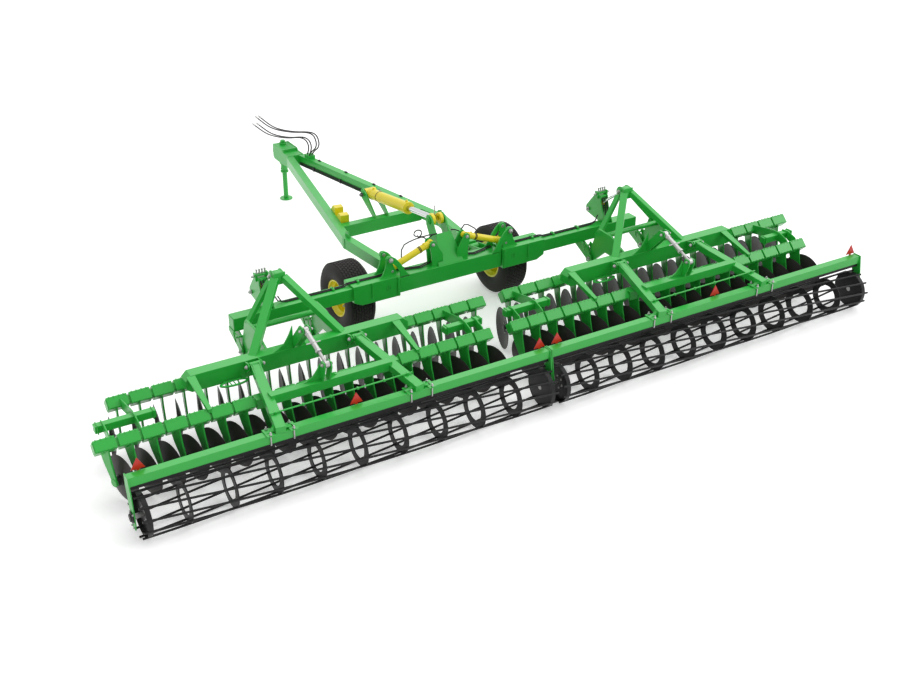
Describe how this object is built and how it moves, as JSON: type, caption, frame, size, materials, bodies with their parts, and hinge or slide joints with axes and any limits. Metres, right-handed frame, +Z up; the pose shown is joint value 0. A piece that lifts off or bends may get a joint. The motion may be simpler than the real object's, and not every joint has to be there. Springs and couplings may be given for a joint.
{
  "type": "trailed disc harrow",
  "caption": "Trailed disc harrow: wheeled carrier with a long drawbar, pulling two folding units that each hold staggered rows of dished discs and a cage roller.",
  "frame": {"origin": "on the ground, below the middle of the machine", "axes": "+Y forward to the tow eye, +X to the right, +Z up"},
  "size_m": [10.1175, 8.8492, 1.545],
  "materials": {
    "black_paint": "satin black paint",
    "chrome": "hard chrome",
    "disc_steel": "dark rolled steel",
    "green_paint": "gloss green paint",
    "hose_rubber": "black hose",
    "red_plastic": "red reflector",
    "roller_paint": "dark grey paint",
    "steel": "zinc plated steel",
    "tyre": "ribbed rubber",
    "yellow_paint": "yellow paint"
  },
  "bodies": {
    "carrier": {"centre_beam": "green_paint", "lift_tower": "green_paint", "axle": "green_paint"},
    "drawbar": {"drawbar_head": "green_paint", "drawbar_arm_left": "green_paint", "drawbar_arm_right": "green_paint", "drawbar_cross": "green_paint", "tow_eye": "steel", "wheel_chocks": "yellow_paint", "hitch_hose_1": "hose_rubber", "hitch_hose_2": "hose_rubber", "hitch_hose_3": "hose_rubber", "hitch_hose_4": "hose_rubber", "hose_guide": "green_paint"},
    "lift_barrel": {"lift_barrel": "yellow_paint"},
    "lift_rod": {"lift_rod": "chrome"},
    "jack": {"jack_leg": "green_paint"},
    "wheel_left": {"tyre_left": "tyre", "rim_left": "yellow_paint"},
    "wing_left": {"wing_beam_left": "green_paint", "upper_link_left": "yellow_paint", "tower_left": "green_paint", "main_frame_left": "green_paint", "row_tubes_left": "green_paint", "disc_arms_left": "green_paint", "discs_left": "disc_steel"},
    "fold_barrel_left": {"fold_barrel_left": "yellow_paint"},
    "fold_rod_left": {"fold_rod_left": "chrome"},
    "roller_frame_left": {"roller_frame_left": "green_paint", "reflectors_left": "red_plastic", "scrapers_left": "black_paint"},
    "turn_barrel_left": {"turn_barrel_left": "steel"},
    "turn_rod_left": {"turn_rod_left": "steel"},
    "roller_left": {"roller_left": "roller_paint"},
    "wheel_right": {"tyre_right": "tyre", "rim_right": "yellow_paint"},
    "wing_right": {"wing_beam_right": "green_paint", "upper_link_right": "yellow_paint", "tower_right": "green_paint", "main_frame_right": "green_paint", "row_tubes_right": "green_paint", "disc_arms_right": "green_paint", "discs_right": "disc_steel"},
    "fold_barrel_right": {"fold_barrel_right": "yellow_paint"},
    "fold_rod_right": {"fold_rod_right": "chrome"},
    "roller_frame_right": {"roller_frame_right": "green_paint", "reflectors_right": "red_plastic", "scrapers_right": "black_paint"},
    "turn_barrel_right": {"turn_barrel_right": "steel"},
    "turn_rod_right": {"turn_rod_right": "steel"},
    "roller_right": {"roller_right": "roller_paint"}
  },
  "joints": [
    {"name": "drawbar_lift", "type": "hinge", "parent": "carrier", "child": "drawbar", "pos_m": [0, -1.03, 0.8], "axis": [1, 0, 0], "range_deg": [-8, 8]},
    {"name": "lift_barrel_pivot", "type": "hinge", "parent": "drawbar", "child": "lift_barrel", "pos_m": [0, 0.69, 1.11], "axis": [1, 0, 0], "range_deg": [-2, 2]},
    {"name": "lift_rod_slide", "type": "slide", "parent": "lift_barrel", "child": "lift_rod", "axis": [0, -0.9888, 0.1494], "range_m": [-0.085, 0.085]},
    {"name": "jack_slide", "type": "slide", "parent": "drawbar", "child": "jack", "axis": [0, 0, 1], "range_m": [0, 0.35]},
    {"name": "wheel_left_spin", "type": "hinge", "parent": "carrier", "child": "wheel_left", "pos_m": [-1.155, -0.845, 0.465], "axis": [1, 0, 0], "continuous": true},
    {"name": "wing_left_fold", "type": "hinge", "parent": "carrier", "child": "wing_left", "pos_m": [-0.88, -1.415, 1.17], "axis": [0, 1, 0], "range_deg": [0, 90]},
    {"name": "fold_barrel_left_pivot", "type": "hinge", "parent": "carrier", "child": "fold_barrel_left", "pos_m": [-0.25, -1.415, 1.215], "axis": [0, 1, 0], "range_deg": [0, 15]},
    {"name": "fold_rod_left_slide", "type": "slide", "parent": "fold_barrel_left", "child": "fold_rod_left", "axis": [-0.937, 0, -0.3494], "range_m": [0, 0.185]},
    {"name": "depth_left", "type": "hinge", "parent": "wing_left", "child": "roller_frame_left", "pos_m": [-2.5025, -2.65, 0.91], "axis": [1, 0, 0], "range_deg": [-5, 3.5]},
    {"name": "turn_barrel_left_pivot", "type": "hinge", "parent": "wing_left", "child": "turn_barrel_left", "pos_m": [-2.6325, -2.82, 1.27], "axis": [1, 0, 0], "range_deg": [-6, 4]},
    {"name": "turn_rod_left_slide", "type": "slide", "parent": "turn_barrel_left", "child": "turn_rod_left", "axis": [0, -0.9376, -0.3478], "range_m": [-0.04, 0.03]},
    {"name": "roller_left_spin", "type": "hinge", "parent": "roller_frame_left", "child": "roller_left", "pos_m": [-2.5025, -3.73, 0.25], "axis": [1, 0, 0], "continuous": true},
    {"name": "wheel_right_spin", "type": "hinge", "parent": "carrier", "child": "wheel_right", "pos_m": [1.155, -0.845, 0.465], "axis": [1, 0, 0], "continuous": true},
    {"name": "wing_right_fold", "type": "hinge", "parent": "carrier", "child": "wing_right", "pos_m": [0.88, -1.415, 1.17], "axis": [0, -1, 0], "range_deg": [0, 90]},
    {"name": "fold_barrel_right_pivot", "type": "hinge", "parent": "carrier", "child": "fold_barrel_right", "pos_m": [0.25, -1.415, 1.215], "axis": [0, -1, 0], "range_deg": [0, 15]},
    {"name": "fold_rod_right_slide", "type": "slide", "parent": "fold_barrel_right", "child": "fold_rod_right", "axis": [0.937, 0, -0.3494], "range_m": [0, 0.185]},
    {"name": "depth_right", "type": "hinge", "parent": "wing_right", "child": "roller_frame_right", "pos_m": [2.5025, -2.65, 0.91], "axis": [1, 0, 0], "range_deg": [-5, 3.5]},
    {"name": "turn_barrel_right_pivot", "type": "hinge", "parent": "wing_right", "child": "turn_barrel_right", "pos_m": [2.3725, -2.82, 1.27], "axis": [1, 0, 0], "range_deg": [-6, 4]},
    {"name": "turn_rod_right_slide", "type": "slide", "parent": "turn_barrel_right", "child": "turn_rod_right", "axis": [0, -0.9376, -0.3478], "range_m": [-0.04, 0.03]},
    {"name": "roller_right_spin", "type": "hinge", "parent": "roller_frame_right", "child": "roller_right", "pos_m": [2.5025, -3.73, 0.25], "axis": [1, 0, 0], "continuous": true}
  ],
  "couplings": [
    {"joint": "lift_barrel_pivot", "follows": "drawbar_lift", "ratio": -0.101},
    {"joint": "lift_rod_slide", "follows": "drawbar_lift", "m_per_rad": -0.5622},
    {"joint": "fold_barrel_left_pivot", "follows": "wing_left_fold", "ratio": 0.1602},
    {"joint": "fold_rod_left_slide", "follows": "wing_left_fold", "m_per_rad": 0.1145},
    {"joint": "turn_barrel_left_pivot", "follows": "depth_left", "ratio": 1.07},
    {"joint": "turn_rod_left_slide", "follows": "depth_left", "m_per_rad": 0.405},
    {"joint": "fold_barrel_right_pivot", "follows": "wing_right_fold", "ratio": 0.1602},
    {"joint": "fold_rod_right_slide", "follows": "wing_right_fold", "m_per_rad": 0.1145},
    {"joint": "turn_barrel_right_pivot", "follows": "depth_right", "ratio": 1.07},
    {"joint": "turn_rod_right_slide", "follows": "depth_right", "m_per_rad": 0.405}
  ]
}
